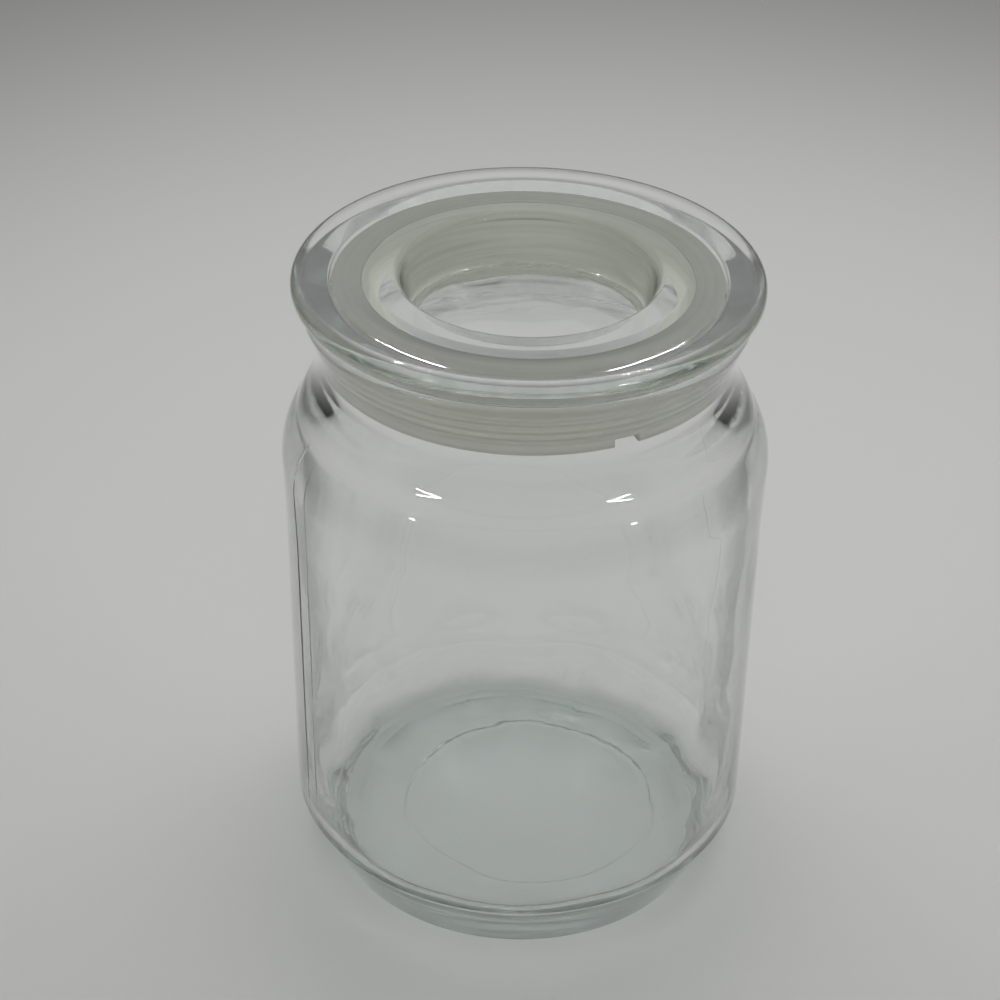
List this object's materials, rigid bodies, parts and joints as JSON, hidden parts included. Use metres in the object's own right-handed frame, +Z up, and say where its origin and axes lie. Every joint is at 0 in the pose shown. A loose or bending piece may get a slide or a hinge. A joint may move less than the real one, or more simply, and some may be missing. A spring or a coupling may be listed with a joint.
{
  "type": "lidded glass canister",
  "caption": "Round clear glass storage canister with a flat glass stopper lid and a soft seal ring between the lid's plug and the mouth.",
  "frame": {"origin": "centre of the foot, on the surface that the jar stands on", "axes": "+Z up along the jar's axis; round about Z, with the seal ring's notch towards +X and -Y"},
  "size_m": [0.0956, 0.0956, 0.1355],
  "materials": {
    "jar_glass": "clear, fire-polished",
    "lid_glass": "clear, pressed",
    "seal": "translucent soft plastic"
  },
  "bodies": {
    "jar": {"jar": "jar_glass"},
    "seal_ring": {"seal_ring": "seal"},
    "lid": {"lid": "lid_glass"}
  },
  "joints": [
    {"name": "lid_lift", "type": "slide", "parent": "jar", "child": "seal_ring", "axis": [0, 0, 1], "range_m": [0, 0.06]},
    {"name": "lid_turn", "type": "hinge", "parent": "seal_ring", "child": "lid", "pos_m": [0, 0, 0.1298], "axis": [0, 0, 1], "continuous": true}
  ]
}
